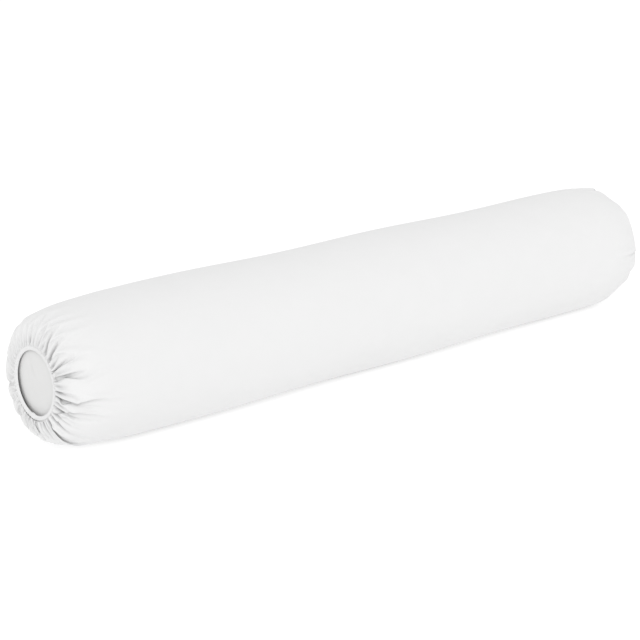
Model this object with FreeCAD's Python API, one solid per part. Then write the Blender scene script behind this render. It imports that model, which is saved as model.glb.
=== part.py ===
"""Bolster pillow: a sewn, fibre-filled insert in a pull-on cover whose two ends are gathered on elastic.

The row frame has +X along the bolster, +Z up, and its origin on the floor under the middle of the bolster.
The front end faces -X and the rear end faces +X. Everything is in millimetres.
"""

import FreeCAD, Part
import math
import os
from FreeCAD import Vector

# Whole bolster
LENGTH = 1100.0  # over the gathered ends
RADIUS = 100.0  # of the cover's tube
SINK = 6.0  # how far the soft tube flattens where it lies on the floor
SHOULDER_X = 62.0  # length of the rounded shoulder along the axis
SHOULDER_R = 46.0  # height of the rounded shoulder across the axis

# Cover
COVER_WALL = 1.0  # one layer of knit cloth
GATHER_WALL = 4.0  # the cloth where it is bunched up beside the hem
HEM_RING_R = 46.5  # from the bolster's axis to the middle of the rolled hem
HEM_ROLL_R = 3.2  # outside of the rolled hem
ELASTIC_R = 2.3  # elastic cord, which fills the hem's channel
ELASTIC_JOINT_DEG = 9.0  # length of the sewn lap of the elastic, round the ring
COVER_SEAM_WIDTH = 8.0  # pressed seam allowance inside the cover
COVER_SEAM_THICK = 1.6
THREAD_R = 0.35  # sewing thread as it lies in the cloth
THREAD_INSET = 2.0  # seam thread, from the edge where the cloths join
HEM_STITCHES = 48  # round each hem
HEM_STITCH_SHARE = 0.6  # thread to pitch

# Insert
COVER_GAP = 0.8  # insert to cover, round the tube
END_GAP = 2.8  # insert to cover, at the flat ends
FLOOR_GAP = 2.6  # insert to the cover's inner floor, which leaves room for the cover's seam
CASING_WALL = 0.8  # woven ticking
END_SEAM_X = 37.0  # end seam's place on the shoulder, from where the tube ends
ALLOWANCE = 8.0  # width of the casing's seam allowances
ALLOWANCE_THICK = 2 * CASING_WALL  # two layers of ticking, face to face
CASING_SEAM_DEG = -45.0  # the casing's long seam, turned round the axis from +Y towards +Z
CORE_RADIUS = 78.0  # of the firm middle of the filling
CORE_LENGTH = 1040.0
CORE_EDGE_R = 25.0
CLOSING_LENGTH = 240.0  # of the hand-sewn stuffing gap, in the middle of the long seam
CLOSING_PITCH = 8.0
CLOSING_STITCH = 5.5

# Derived
HALF = LENGTH / 2
AXIS_Z = RADIUS - SINK
TUBE_HALF = HALF - SHOULDER_X  # the tube is straight this far either side of the middle
FACE_R = RADIUS - SHOULDER_R  # the ends are flat inside this radius
FAR = 2 * LENGTH  # larger than anything here
ALONG = Vector(1, 0, 0)
CENTRE = Vector(0, 0, AXIS_Z)
ENDS = {"front": -1, "rear": 1}


def ring_point(x, radius, degrees):
    """A point at this radius from the bolster's axis, turned from +Y towards +Z."""
    angle = math.radians(degrees)
    return Vector(x, radius * math.cos(angle), AXIS_Z + radius * math.sin(angle))


def slab(low_x, high_x):
    """All the space between two planes across the bolster."""
    return Part.makeBox(high_x - low_x, FAR, FAR, Vector(low_x, -FAR / 2, -FAR / 2))


def shoulder(x_radius, r_radius):
    """A quarter ellipse from the flat front end to the tube, in the XZ plane."""
    middle = Vector(-TUBE_HALF, 0, AXIS_Z + FACE_R)
    tip = middle - Vector(x_radius, 0, 0)
    top = middle + Vector(0, 0, r_radius)
    if x_radius > r_radius:
        ellipse = Part.Ellipse(tip, top, middle)
    else:
        ellipse = Part.Ellipse(top, tip, middle)
    ends = sorted((ellipse.parameter(tip), ellipse.parameter(top)))
    arc = Part.Arc(ellipse, *ends).toShape()
    if arc.Length > math.pi * max(x_radius, r_radius) * 0.6:  # took the long way round
        arc = Part.Arc(ellipse, ends[1], ends[0] + 2 * math.pi).toShape()
    return arc, tip, top


def bolster_solid(x_radius, r_radius, floor_z):
    """A closed bolster with these shoulders, resting flat at floor_z."""
    front, tip, top = shoulder(x_radius, r_radius)
    rear = front.mirror(Vector(0, 0, 0), ALONG)
    rear_tip, rear_top = (Vector(-p.x, p.y, p.z) for p in (tip, top))
    on_axis = [Vector(p.x, 0, AXIS_Z) for p in (tip, rear_tip)]
    outline = Part.Wire(
        Part.__sortEdges__(
            [
                front,
                rear,
                Part.makeLine(top, rear_top),
                Part.makeLine(rear_tip, on_axis[1]),
                Part.makeLine(on_axis[1], on_axis[0]),
                Part.makeLine(on_axis[0], tip),
            ]
        )
    )
    turned = Part.Face(outline).revolve(CENTRE, ALONG, 360)
    above = Part.makeBox(FAR, FAR, FAR, Vector(-FAR / 2, -FAR / 2, floor_z))
    return Part.Solid(turned.common(above).Solids[0].Shells[0])


def hem_ring(side, roll_radius, start_deg=0.0, sweep_deg=360.0):
    """A ring of round section at one end's hem; side is -1 at the front and 1 at the rear."""
    middle = Vector(side * (HALF - HEM_ROLL_R), 0, AXIS_Z)
    section = Part.makeCircle(roll_radius, middle + Vector(0, HEM_RING_R, 0), Vector(0, 0, 1))
    ring = Part.Face(Part.Wire(section)).revolve(middle, ALONG, sweep_deg)
    ring.rotate(middle, ALONG, start_deg)
    return ring


def cover_shell():
    """The cover's cloth in one piece, open at both gathered ends."""
    outside = bolster_solid(SHOULDER_X, SHOULDER_R, 0.0)
    inside = bolster_solid(SHOULDER_X - GATHER_WALL, SHOULDER_R - COVER_WALL, COVER_WALL)
    shell = outside.cut(inside)
    for side in ENDS.values():
        shoulder_start = CENTRE + ALONG * side * TUBE_HALF
        mouth = Part.makeCylinder(HEM_RING_R, SHOULDER_X, shoulder_start, ALONG * side)
        shell = shell.cut(mouth).cut(hem_ring(side, HEM_ROLL_R))
    return shell


def cover_seam():
    """The cover's long seam allowance, pressed flat on the inside of its underside."""
    low = Vector(-TUBE_HALF, 0, COVER_WALL)
    return Part.makeBox(2 * TUBE_HALF, COVER_SEAM_WIDTH, COVER_SEAM_THICK, low)


def cover_seam_thread():
    """The thread inside the cover's long seam."""
    start = Vector(-TUBE_HALF, THREAD_INSET, COVER_WALL + COVER_SEAM_THICK / 2)
    return Part.makeCylinder(THREAD_R, 2 * TUBE_HALF, start, ALONG)


def elastic_parts(side):
    """An elastic cord and the sewn lap that closes it into a ring, with the lap at the underside."""
    lap_start = -90.0 - ELASTIC_JOINT_DEG / 2
    lap = hem_ring(side, ELASTIC_R, lap_start, ELASTIC_JOINT_DEG)
    cord = hem_ring(side, ELASTIC_R, lap_start + ELASTIC_JOINT_DEG, 360.0 - ELASTIC_JOINT_DEG)
    return cord, lap


def hem_stitching(side):
    """The visible stitches that close the hem, a little sunk in the gathered cloth."""
    stitch_ring_r = HEM_RING_R + HEM_ROLL_R + 2 * THREAD_R
    middle = Vector(side * HALF, 0, AXIS_Z)
    pitch = 360.0 / HEM_STITCHES
    stitches = []
    for number in range(HEM_STITCHES):
        section = Part.makeCircle(THREAD_R, middle + Vector(0, stitch_ring_r, 0), Vector(0, 0, 1))
        stitch = Part.Face(Part.Wire(section)).revolve(middle, ALONG, pitch * HEM_STITCH_SHARE)
        stitch.rotate(middle, ALONG, number * pitch)
        stitches.append(stitch)
    return Part.makeCompound(stitches)


def end_seam(side, inside):
    """One end seam of the casing: its overlocked allowances, standing inwards, and their thread."""
    middle = CENTRE + ALONG * side * (TUBE_HALF + END_SEAM_X)
    disc = Part.makeCylinder(RADIUS, ALLOWANCE_THICK, middle - ALONG * ALLOWANCE_THICK / 2, ALONG)
    fin = inside.common(disc)
    seam_r = fin.BoundBox.YMax
    fin = fin.cut(Part.makeCylinder(seam_r - ALLOWANCE, FAR, CENTRE - ALONG * FAR / 2, ALONG))
    thread = Part.makeTorus(seam_r - THREAD_INSET, THREAD_R, middle, ALONG)
    return fin, thread


def casing_seam(inside_r):
    """The casing's long seam, likewise; its thread stops either side of the stuffing gap."""
    low = Vector(-TUBE_HALF, inside_r - ALLOWANCE, AXIS_Z - ALLOWANCE_THICK / 2)
    fin = Part.makeBox(2 * TUBE_HALF, ALLOWANCE, ALLOWANCE_THICK, low)
    fin.rotate(CENTRE, ALONG, CASING_SEAM_DEG)
    round_tube = Part.makeCylinder(inside_r, FAR, CENTRE - ALONG * FAR / 2, ALONG)
    thread_length = TUBE_HALF - CLOSING_LENGTH / 2
    threads = []
    for start_x in (-TUBE_HALF, CLOSING_LENGTH / 2):
        start = ring_point(start_x, inside_r - THREAD_INSET, CASING_SEAM_DEG)
        threads.append(Part.makeCylinder(THREAD_R, thread_length, start, ALONG))
    return fin.common(round_tube), Part.makeCompound(threads)


def closing_stitches(casing_r):
    """The hand stitches that close the stuffing gap in the casing's long seam."""
    count = int(CLOSING_LENGTH / CLOSING_PITCH)
    stitches = []
    for number in range(count):
        start = ring_point((number - count / 2) * CLOSING_PITCH, casing_r, CASING_SEAM_DEG)
        stitches.append(Part.makeCylinder(THREAD_R, CLOSING_STITCH, start, ALONG))
    return Part.makeCompound(stitches)


def fibre_core():
    """The stuffed fibre core, with rounded edges."""
    core = Part.makeCylinder(CORE_RADIUS, CORE_LENGTH, CENTRE - ALONG * CORE_LENGTH / 2, ALONG)
    rims = [e for e in core.Edges if e.Closed and isinstance(e.Curve, Part.Circle)]
    return core.makeFillet(CORE_EDGE_R, rims)


def cover_nodes():
    """The cover's shapes by node name."""
    nodes = {}
    shell = cover_shell()
    nodes["cover_sleeve"] = shell.common(slab(-TUBE_HALF, TUBE_HALF))
    nodes["front_gathered_end"] = shell.common(slab(-FAR, -TUBE_HALF))
    nodes["rear_gathered_end"] = shell.common(slab(TUBE_HALF, FAR))
    nodes["cover_long_seam"] = cover_seam()
    nodes["cover_seam_thread"] = cover_seam_thread()
    for end, side in ENDS.items():
        nodes[end + "_hem"] = hem_ring(side, HEM_ROLL_R).cut(hem_ring(side, ELASTIC_R))
        nodes[end + "_elastic"], nodes[end + "_elastic_joint"] = elastic_parts(side)
        nodes[end + "_hem_stitching"] = hem_stitching(side)
    return nodes


def insert_nodes():
    """The insert's shapes by node name."""
    nodes = {}
    x_radius = SHOULDER_X - GATHER_WALL - END_GAP
    r_radius = SHOULDER_R - COVER_WALL - COVER_GAP
    floor_z = COVER_WALL + FLOOR_GAP
    outside = bolster_solid(x_radius, r_radius, floor_z)
    inside = bolster_solid(x_radius - CASING_WALL, r_radius - CASING_WALL, floor_z + CASING_WALL)
    casing = outside.cut(inside)
    seam_x = TUBE_HALF + END_SEAM_X
    casing_r = FACE_R + r_radius
    nodes["casing_tube"] = casing.common(slab(-seam_x, seam_x))
    nodes["front_end_disc"] = casing.common(slab(-FAR, -seam_x))
    nodes["rear_end_disc"] = casing.common(slab(seam_x, FAR))
    nodes["casing_long_seam"], nodes["casing_seam_thread"] = casing_seam(casing_r - CASING_WALL)
    nodes["closing_stitches"] = closing_stitches(casing_r)
    nodes["fibre_core"] = fibre_core()
    wrap = inside.cut(nodes["casing_long_seam"]).cut(nodes["fibre_core"])
    for end, side in ENDS.items():
        fin, thread = end_seam(side, inside)
        nodes[end + "_end_seam"] = fin
        nodes[end + "_end_seam_thread"] = thread
        wrap = wrap.cut(fin)
    nodes["wadding_wrap"] = wrap
    return nodes


os.makedirs("parts", exist_ok=True)
for name, shape in (cover_nodes() | insert_nodes()).items():
    solids = shape.Solids
    kept = solids[0] if len(solids) == 1 else Part.makeCompound(solids)
    kept.exportStep("parts/" + name + ".step")
    print(f"{name}: {len(solids)} solid(s), valid {kept.isValid()}, {kept.Volume / 1000:.2f} cm3")
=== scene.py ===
"""The looks of the bolster pillow: its gathered cover, sewn insert, cloth, thread and light.

Everything is in metres, in the row frame: +X along the bolster, +Z up, and the floor at Z = 0.
An end is shaped in its own coordinates: the depth from its end plane along the axis, then Y and Z from the
axis. An angle round the axis runs from +Y towards +Z. Cloth is a list of rings of points round the axis.
"""

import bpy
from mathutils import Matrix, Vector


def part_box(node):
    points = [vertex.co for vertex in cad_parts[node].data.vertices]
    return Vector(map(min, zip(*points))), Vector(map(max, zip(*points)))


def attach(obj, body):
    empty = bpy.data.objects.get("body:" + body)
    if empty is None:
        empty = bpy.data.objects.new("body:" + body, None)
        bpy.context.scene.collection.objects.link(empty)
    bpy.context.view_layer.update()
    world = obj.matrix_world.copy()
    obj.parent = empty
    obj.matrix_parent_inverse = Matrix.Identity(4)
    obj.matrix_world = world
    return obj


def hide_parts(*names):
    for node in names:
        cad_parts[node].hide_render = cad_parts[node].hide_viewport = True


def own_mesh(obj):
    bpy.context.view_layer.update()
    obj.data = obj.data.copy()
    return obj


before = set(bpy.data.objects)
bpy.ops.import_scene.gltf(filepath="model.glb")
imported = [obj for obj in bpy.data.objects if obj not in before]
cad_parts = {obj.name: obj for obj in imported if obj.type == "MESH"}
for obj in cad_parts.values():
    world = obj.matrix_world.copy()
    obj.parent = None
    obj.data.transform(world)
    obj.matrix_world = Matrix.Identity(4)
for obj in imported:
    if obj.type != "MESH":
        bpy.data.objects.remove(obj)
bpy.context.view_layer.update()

import math

import bpy
import numpy as np
from mathutils import Vector

MM = 0.001
TAU = 2 * math.pi
ALONG = np.array([1.0, 0, 0])
ACROSS = np.array([0, 1.0, 0])
UP = np.array([0, 0, 1.0])

# The bolster, from the frame
END_LOW, END_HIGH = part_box("front_gathered_end")
HEM_LOW, HEM_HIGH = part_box("front_hem")
CASING_LOW, CASING_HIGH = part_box("casing_tube")
DISC_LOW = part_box("front_end_disc")[0]
CORE_LOW, CORE_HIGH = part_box("fibre_core")
COVER_SEAM_LOW, COVER_SEAM_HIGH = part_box("cover_long_seam")
CLOSING_LOW, CLOSING_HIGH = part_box("closing_stitches")
RADIUS = (END_HIGH[1] - END_LOW[1]) / 2
AXIS_Z = END_HIGH[2] - RADIUS
HALF = -END_LOW[0]
HEM_OUT = (HEM_HIGH[1] - HEM_LOW[1]) / 2
MOUTH_R = HEM_OUT - (HEM_HIGH[0] - HEM_LOW[0])
CASING_R = (CASING_HIGH[1] - CASING_LOW[1]) / 2
CASING_FLOOR = CASING_LOW[2]
SEAM_DEPTH = HALF - CASING_HIGH[0]  # of the casing's end seams
DISC_DEPTH = HALF + DISC_LOW[0]
CORE_R = (CORE_HIGH[1] - CORE_LOW[1]) / 2
CORE_DEPTH = HALF - CORE_HIGH[0]

# The rounded ends: a superellipse from the mouth to the tube
SHOULDER = 79 * MM
ROUNDNESS = 2.9
CLOTH = 0.7 * MM
SNUG = 0.995  # jersey is cut a little under the filling's size
STITCH_LINE_R = HEM_OUT + 0.3 * MM
LEAN = 1.5 * MM  # the front mouth's top is this far in and its underside this far out

# The cloth's grid at each end
COLUMNS = 640
ROW = 1.6 * MM
REACH = 0.2  # from the stitch line along the cloth
TUBE_COLUMNS = 160
TUBE_ROW = 16 * MM
FINE_ROWS = 24  # kept at every column


def wrapped(angle):
    """An angle, or an array of them, brought between minus and plus half a turn."""
    return (angle + math.pi) % TAU - math.pi


def ease(value, low, high):
    """0 below low, 1 above high, and smooth between."""
    t = np.clip((value - low) / (high - low), 0, 1)
    return t * t * (3 - 2 * t)


def ripple(rng, angle, waves, lowest=1):
    """A smooth random curve round the axis, about -1 to 1."""
    total = np.zeros_like(angle)
    for number in range(lowest, lowest + waves):
        total += rng.normal() * np.cos(number * angle + rng.uniform(0, TAU))
    return total / math.sqrt(waves)


def angles_of(count):
    """Evenly spaced angles round the axis."""
    return np.arange(count) * TAU / count


def ring(depth, radius, angle):
    """A ring of points in an end's own coordinates."""
    return np.stack([depth + 0 * angle, radius * np.cos(angle), radius * np.sin(angle)], -1)


TAPER_TOP = 5 * MM  # the front end's stuffing is slack: its shoulder is lower at the top by this,
TAPER_UNDER = 8 * MM  # and higher at the underside by this
TAPER_DEPTHS = (25 * MM, 130 * MM)


def taper(depth):
    """The share of the front end's taper, by the distance from its end plane."""
    return 1 - ease(depth, *TAPER_DEPTHS)


def drawn_in(points):
    """The points with the front end's top and underside drawn in towards the axis."""
    across = np.hypot(points[..., 1], points[..., 2] - AXIS_Z)
    upright = (points[..., 2] - AXIS_Z) / np.maximum(across, MM)
    share = ease(across, HEM_OUT, RADIUS) * taper(HALF + points[..., 0])
    inwards = share * upright**2 * np.where(upright > 0, TAPER_TOP, TAPER_UNDER)
    kept = 1 - inwards / np.maximum(across, MM)
    points[..., 1] *= kept
    points[..., 2] = AXIS_Z + (points[..., 2] - AXIS_Z) * kept
    return points


def at_end(cloth, side):
    """Points in an end's own coordinates, placed at the front (-1) or the rear (1)."""
    placed = np.empty_like(cloth)
    placed[..., 0] = side * (HALF - cloth[..., 0])
    placed[..., 1] = cloth[..., 1]
    placed[..., 2] = cloth[..., 2] + AXIS_Z
    return drawn_in(placed)


# --- the gathered cloth of an end --------------------------------------------------------------------


def profile(depth_offset, mouth_r, radius, samples=4000):
    """Arc length, depth and radius from the mouth over the shoulder to the end of the gathers."""
    turn = np.linspace(0, math.pi / 2, samples)
    high = SHOULDER - depth_offset
    depth = SHOULDER - high * np.cos(turn) ** (2 / ROUNDNESS)
    far = mouth_r + (radius - mouth_r) * np.sin(turn) ** (2 / ROUNDNESS)
    depth = np.append(depth, SHOULDER + REACH)
    far = np.append(far, radius)
    along = np.concatenate([[0], np.cumsum(np.hypot(np.diff(depth), np.diff(far)))])
    return along, depth, far


def meridian():
    """Arc length, depth and radius along the cover, from the stitch line on."""
    along, depth, radius = profile(0, MOUTH_R, RADIUS)
    kept = radius >= STITCH_LINE_R
    return along[kept] - along[kept][0], depth[kept], radius[kept]


def rest_on_filling(cloth, groove, tack):
    """Moves cloth out to the filling's surface, which is lower in the grooves, where tack draws it in."""
    depth = cloth[..., 0]
    across = np.hypot(cloth[..., 1], cloth[..., 2])
    inwards = np.clip((SHOULDER - depth) / (SHOULDER - CLOTH), 0, None)
    outwards = np.clip((across - MOUTH_R) / (RADIUS - CLOTH - MOUTH_R), 0, None)
    level = (inwards**ROUNDNESS + outwards**ROUNDNESS) ** (1 / ROUNDNESS)
    wanted = (1 - groove / (RADIUS - MOUTH_R)) / np.maximum(level, 0.2)
    scale = np.where(wanted > 1, wanted, 1 + tack * (wanted - 1))
    scale = np.where(level > 0.2, scale, 1.0)
    cloth[..., 0] = np.where(inwards > 0, SHOULDER - (SHOULDER - depth) * scale, depth)
    pushed = np.where(outwards > 0, MOUTH_R + (across - MOUTH_R) * scale, across)
    cloth[..., 1:] *= (pushed / np.maximum(across, 1e-6))[..., None]


def pull(start, end, rest, stiffness):
    """Half the step that brings pairs of points to their rest distance."""
    apart = end - start
    length = np.sqrt((apart * apart).sum(-1, keepdims=True)) + 1e-12
    return apart * (0.5 * stiffness * (1 - rest[..., None] / length))


# The cloth's behaviour
BEND_ALONG = 0.01
BEND_AROUND = (0.012, 0.02)  # at each level, coarse to fine
STEPS = (220, 180)
SHEAR = 0.25
MOMENTUM = 0.9
FASTEST = 0.4 * MM
TACK = 0.1
HEM_HOLD = 0.6  # how firmly each step brings the hem back to its ring
HEM_LIFT = -1.2 * MM  # the stitch line stands this far proud of the end plane
HEM_SHARE = 0.62  # of the cloth's width at the hem: the rest is taken up by the knit and by fine puckers
SHOULDER_SHARE = 0.97  # the same on the shoulder
FINE_REACH = 28 * MM
FRONT_FULLEST = math.radians(205)  # where the gathers hold the most cloth
REAR_FULLEST = math.radians(320)
UNEVEN = 0.11
TAUT_REACH = 100 * MM


def width_share(place):
    """How much of the cloth's cut width its grid has, by arc length from the stitch line."""
    gathered = HEM_SHARE + (SHOULDER_SHARE - HEM_SHARE) * np.clip(place / FINE_REACH, 0, 1) ** 0.8
    return gathered + (1 - SHOULDER_SHARE) * ease(place, FINE_REACH, TAUT_REACH)


def relax(cloth, around, along, groove, tack, steps, bend):
    """Settles the cloth over the filling, with its hem held on a ring and its far edge on the tube."""
    rows = len(cloth)
    diagonal = np.sqrt(((around[1:] + around[:-1]) / 2) ** 2 + along**2)
    before = cloth.copy()
    far_edge = cloth[-1].copy()
    for _ in range(steps):
        drift = np.clip(cloth - before, -FASTEST, FASTEST) * MOMENTUM
        before = cloth.copy()
        cloth += drift
        for first in (0, 1):
            start = cloth[:, first::2]
            end = np.concatenate([cloth[:, first + 1 :: 2], cloth[:, :first]], 1)
            step = pull(start, end, around[:, first::2], 1.0)
            cloth[:, first::2] += step
            cloth[:, 1 - first :: 2] -= np.roll(step, first, 1)
            upper = slice(first, rows - 1, 2)
            lower = slice(first + 1, None, 2)
            step = pull(cloth[upper], cloth[lower], along[first::2], 1.0)
            cloth[upper] += step
            cloth[lower] -= step
            for way in (1, -1):
                step = pull(cloth[upper], np.roll(cloth[lower], way, 1), diagonal[first::2], SHEAR)
                cloth[upper] += step
                cloth[lower] -= np.roll(step, -way, 1)
        curve = np.roll(cloth, 1, 1) + np.roll(cloth, -1, 1) - 2 * cloth
        cloth -= bend * (np.roll(curve, 1, 1) + np.roll(curve, -1, 1) - 2 * curve)
        curve = BEND_ALONG * (cloth[2:] + cloth[:-2] - 2 * cloth[1:-1])
        cloth[1:-1] += 2 * curve
        cloth[2:] -= curve
        cloth[:-2] -= curve
        rest_on_filling(cloth, groove, tack)
        across = np.hypot(cloth[0, :, 1], cloth[0, :, 2])
        cloth[0, :, 1:] *= (1 + HEM_HOLD * (STITCH_LINE_R / across - 1))[:, None]
        cloth[0, :, 0] += HEM_HOLD * (HEM_LIFT - cloth[0, :, 0])
        cloth[-1] = far_edge
    return cloth


def finer(cloth):
    """The same cloth with twice as many rows and columns."""
    rows = np.empty((2 * len(cloth) - 1,) + cloth.shape[1:])
    rows[::2] = cloth
    rows[1::2] = (cloth[1:] + cloth[:-1]) / 2
    ahead = np.roll(rows, -1, 1)
    middle = (9 * (rows + ahead) - np.roll(rows, 1, 1) - np.roll(rows, -2, 1)) / 16
    return np.stack([rows, middle], 2).reshape(len(rows), -1, 3)


# The front end's creases, round from +Y towards +Z: its angle at the hem and how far it swings by its end,
# in degrees, then its length, its depth and half the width of its bottom, in mm
FRONT_CREASES = [
    (2, 0, 22, 0.5, 0.9),
    (9, 0, 30, 0.6, 0.9),
    (17, 1, 20, 0.8, 0.9),
    (24, 0, 34, 1.0, 0.9),
    (33, 0, 20, 0.8, 0.9),
    (41, -1, 28, 1.0, 0.9),
    (49, 0, 18, 0.8, 0.9),
    (57, 0, 30, 1.0, 0.9),
    (64, 1, 18, 0.8, 0.9),
    (70, -2, 24, 1.0, 0.9),
    (79, 0, 15, 2.6, 1.0),
    (90, -4, 40, 0.8, 1.4),
    (99, 3, 24, 1.0, 0.9),
    (108, 2, 18, 1.4, 0.9),
    (119, -10, 34, 4.4, 2.2),
    (132, -10, 33, 4.2, 1.9),
    (143, -7, 22, 1.8, 0.9),
    (149, -6, 34, 2.4, 1.2),
    (154, -2, 52, 1.2, 2.2),
    (159, -1, 52, 4.2, 1.5),
    (163, -3, 22, 2.2, 0.8),
    (169, 2, 16, 1.4, 0.8),
    (176, 6, 36, 1.6, 1.2),
    (185, 5, 74, 3.4, 1.5),
    (193, 3, 20, 1.6, 0.8),
    (201, 1, 70, 3.0, 1.6),
    (211, 3, 54, 2.2, 1.3),
    (219, 10, 88, 4.0, 1.5),
    (231, 9, 66, 3.2, 1.7),
    (239, 8, 34, 2.0, 0.9),
    (247, 5, 36, 2.4, 0.9),
    (256, 2, 30, 2.2, 0.9),
    (265, 0, 28, 2.2, 0.9),
    (275, 0, 30, 2.0, 0.9),
    (284, -2, 26, 1.3, 0.9),
    (293, -2, 24, 1.0, 0.9),
    (302, 0, 24, 0.8, 0.9),
    (310, 0, 28, 0.6, 0.9),
    (318, 1, 22, 0.5, 0.9),
    (327, 0, 28, 0.5, 0.9),
    (335, 0, 20, 0.5, 0.9),
    (343, 1, 30, 0.5, 0.9),
    (353, 0, 22, 0.5, 0.9),
]
CREASE_WIDTH = 1.5  # degrees either side at the hem
CREASE_SPREAD = 0.03  # degrees more per mm along it
PAST_END = 1.3  # times its length, to which a crease's line goes on turning
GROOVE_SHARE = 0.6  # of a crease's depth that the filling has
TACKED_DEPTH = 2.5  # mm, from which a crease holds the cloth fully
RIDGE_SHAPE = 0.75
RIDGE_LENGTH = 2.2  # how the way over a ridge grows with its height


def random_creases(seed, count=40):
    """Creases for an end that nothing is known of, spaced unevenly."""
    rng = np.random.default_rng(seed)
    steps = rng.uniform(0.6, 1.4, count)
    at = np.cumsum(steps) * 360 / steps.sum() % 360
    creases = []
    for angle in sorted(at):
        size = rng.uniform(0, 1)
        creases.append((angle, rng.uniform(-5, 5), 14 + 24 * size, 0.6 + 1.2 * size, 0.9 + 0.4 * size))
    return creases


def crease_fields(creases, angle, place, far):
    """The grooves' depth, their tack and the ridges' height, on a grid of arc length by angle."""
    groove = np.zeros((len(place), len(angle)))
    tack = np.zeros_like(groove)
    ridge = np.zeros_like(groove)
    along = place[:, None] / MM
    lines = []
    for at, swing, reach, depth, _ in creases:
        line = at + swing * np.clip(along / reach, 0, PAST_END)
        off = np.degrees(wrapped(angle[None] - np.radians(line)))
        width = CREASE_WIDTH + CREASE_SPREAD * along
        strong = np.clip(1 - along / reach, 0, 1) ** 0.6 * np.exp(-((off / width) ** 2))
        groove = np.maximum(groove, GROOVE_SHARE * depth * MM * strong)
        tack = np.maximum(tack, min(1.0, depth / TACKED_DEPTH) * strong)
        lines.append(line)
    spare = np.maximum((width_share(place) * SNUG * RADIUS / far) ** 2 - 1, 0)[:, None]
    for number in range(len(creases)):
        gap = (lines[(number + 1) % len(creases)] - lines[number]) % 360
        off = np.degrees(angle[None] - np.radians(lines[number])) % 360 / gap
        bulge = np.where(off < 1, np.sin(np.clip(off, 0, 1) * math.pi) ** RIDGE_SHAPE, 0)
        height = np.radians(gap) * far[:, None] * np.sqrt(spare) / RIDGE_LENGTH
        ridge += height * bulge
    return groove, TACK * tack, ridge


TUCK_SPREAD = 0.012  # how much wider a tuck is for each mm along it, in mm
TUCK_DEEPER = 1.7  # than the crease in the filling
TUCK_SHARPNESS = 1.3  # under 2, its bottom is narrower than a bell curve's
LIP_OFF = 2.6 * MM  # the cloth rolls over a crease from its upper side, this far from it
LIP_WIDE = 2.2 * MM
LIP_SHARE = 0.35  # of the crease's depth
SMOOTHING = (4, 1)  # passes over the cloth before and after its tucks
UNEVENNESS = (0.3 * MM, 0.1 * MM)  # of the cloth as it starts at each level


def tucked(cloth, creases, place, deep):
    """Draws the bottom of each crease in, narrow and deep, with a rolled lip beside it."""
    angle = np.arctan2(cloth[..., 2], cloth[..., 1])
    across = np.hypot(cloth[..., 1], cloth[..., 2])
    along = place[:, None] / MM
    inwards = np.zeros_like(angle)
    for at, swing, reach, depth, wide in creases:
        line = np.radians(at + swing * np.clip(along / reach, 0, PAST_END))
        off = wrapped(angle - line) * across
        strong = np.clip(1 - along / reach, 0, 1) ** 0.5 * ease(along, -2, 5)
        tight = (wide + TUCK_SPREAD * along) * MM
        side = 1 if math.cos(math.radians(at)) < 0 else -1
        narrow = TUCK_DEEPER * np.exp(-((np.abs(off) / tight) ** TUCK_SHARPNESS))
        lip = np.exp(-(((off + side * LIP_OFF) / LIP_WIDE) ** 2))
        inwards += depth * MM * strong * (narrow - LIP_SHARE * lip)
    facing = np.clip((SHOULDER - deep) / SHOULDER, 0, 1)[:, None]
    cloth[..., 0] += inwards * facing
    cloth[..., 1:] *= (1 - inwards * (1 - facing) / across)[..., None]
    return cloth


def smoothed(cloth, times):
    """Evens out what is left of small wrinkles across the folds."""
    for _ in range(times):
        cloth[1:-1] = (cloth[:-2] + 2 * cloth[1:-1] + cloth[2:]) / 4
    return cloth


def gathered_end(creases, seed, fullest):
    """The settled cloth of one end, as rows from the stitch line by columns round the axis."""
    rng = np.random.default_rng(seed)
    along, depth, radius = meridian()
    scale = 2 ** (len(STEPS) - 1)
    columns = COLUMNS // scale
    place = np.arange(int(REACH / (ROW * scale)) + 1) * ROW * scale
    for level, steps in enumerate(STEPS):
        angle = angles_of(columns)
        deep, far = np.interp(place, along, depth), np.interp(place, along, radius)
        around = (width_share(place) * SNUG * TAU * RADIUS / columns)[:, None]
        around = around * (1 + UNEVEN * np.cos(angle - fullest) * (1 - ease(place, 0, TAUT_REACH))[:, None])
        down = np.repeat(np.hypot(np.diff(deep), np.diff(far))[:, None], columns, 1)
        groove, tack, ridge = crease_fields(creases, angle, place, far)
        if level == 0:
            lift = ridge - groove + rng.normal(0, UNEVENNESS[0], (len(place), columns))
            lift *= np.clip(1 - place / REACH, 0, 1)[:, None]
            facing = np.clip((SHOULDER - deep) / SHOULDER, 0, 1)[:, None]
            cloth = ring(deep[:, None] - lift * facing, far[:, None] + lift * (1 - facing), angle[None])
        else:
            cloth = finer(cloth) + rng.normal(0, UNEVENNESS[1], (len(place), columns, 3))
        cloth[-1] = ring(deep[-1], RADIUS, angle)
        cloth = relax(cloth, around, down, groove, tack, steps, BEND_AROUND[level])
        if level == len(STEPS) - 1:
            cloth = tucked(smoothed(cloth, SMOOTHING[0]), creases, place, deep)
            cloth = smoothed(cloth, SMOOTHING[1])
        columns *= 2
        place = np.arange(2 * len(place) - 1) * (place[1] / 2)
    return cloth


# --- meshes ------------------------------------------------------------------------------------------


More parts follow.
